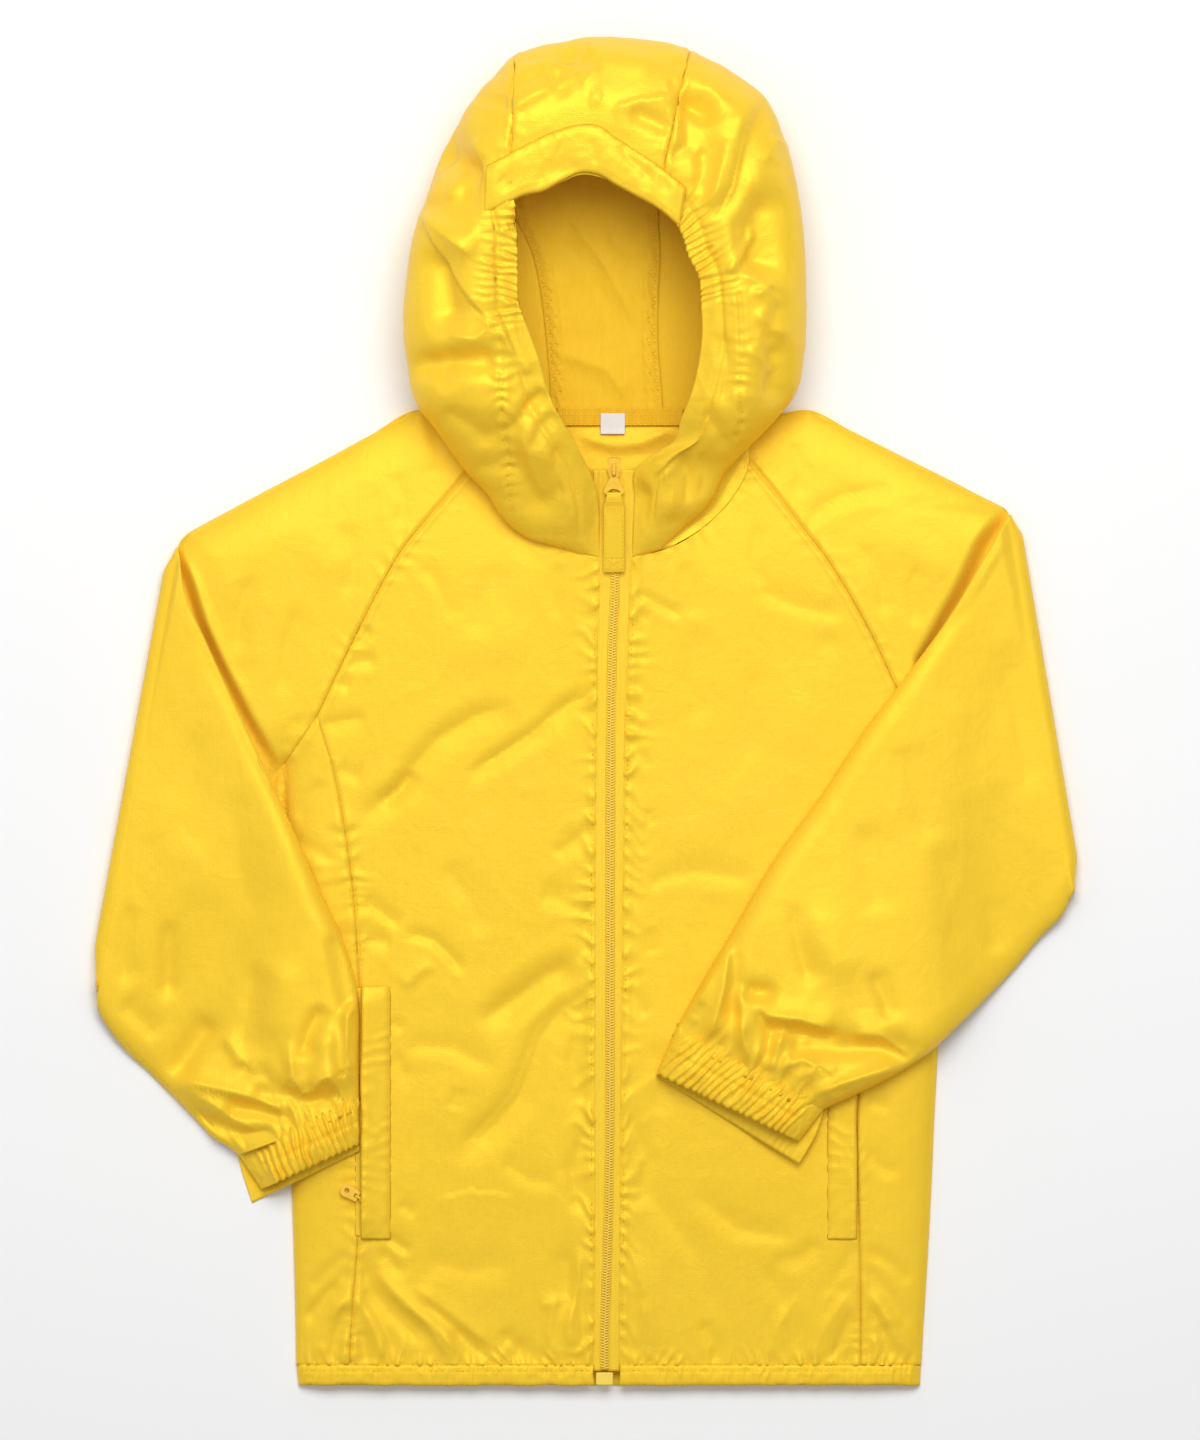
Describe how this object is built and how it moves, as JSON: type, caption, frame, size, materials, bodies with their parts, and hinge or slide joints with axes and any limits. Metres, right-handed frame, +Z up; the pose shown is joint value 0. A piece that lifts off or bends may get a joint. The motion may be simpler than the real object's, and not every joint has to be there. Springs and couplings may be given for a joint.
{
  "type": "child's hooded windbreaker",
  "caption": "Child's thin yellow hooded windbreaker laid flat on its back with both sleeves folded in over the zipped front.",
  "frame": {"origin": "on the surface it lies on, under the middle of its outline", "axes": "+Z up, out of the front of the jacket; +Y from hem to hood; +X to the right as seen from above"},
  "size_m": [0.5476, 0.7412, 0.0774],
  "materials": {
    "shell": "thin glossy woven nylon",
    "binding": "gathered elastic and tape",
    "label": "matte woven",
    "zip_tape": "ribbed woven",
    "zip_coil": "satin",
    "zip_metal": "gloss paint"
  },
  "bodies": {
    "garment": {"back": "shell", "front_left": "shell", "front_right": "shell", "hem_binding": "binding", "sleeve_left": "shell", "sleeve_right": "shell", "cuff_left": "binding", "cuff_right": "binding", "hood_side_left": "shell", "hood_side_right": "shell", "hood_centre": "shell", "hood_brim": "shell", "neck_tape": "binding", "size_label": "label", "pocket_welt_left": "shell", "pocket_welt_right": "shell", "zip_tape_left": "zip_tape", "zip_tape_right": "zip_tape", "zip_coil": "zip_coil", "zip_box": "zip_coil", "zip_slider": "zip_metal", "pocket_zip_left": "zip_tape", "pocket_slider": "zip_metal"},
    "zip_pull": {"zip_pull": "zip_metal", "pull_strap": "shell"},
    "pocket_pull": {"pocket_pull": "zip_metal"}
  },
  "joints": [
    {"name": "zip_pull_swing", "type": "hinge", "parent": "garment", "child": "zip_pull", "pos_m": [0.01581, 0.13296, 0.03286], "axis": [-1, 0, 0], "range_deg": [0, 150]},
    {"name": "pocket_pull_swing", "type": "hinge", "parent": "garment", "child": "pocket_pull", "pos_m": [-0.12521, -0.26661, 0.01265], "axis": [0.5, 0.866, 0], "range_deg": [0, 70]}
  ]
}
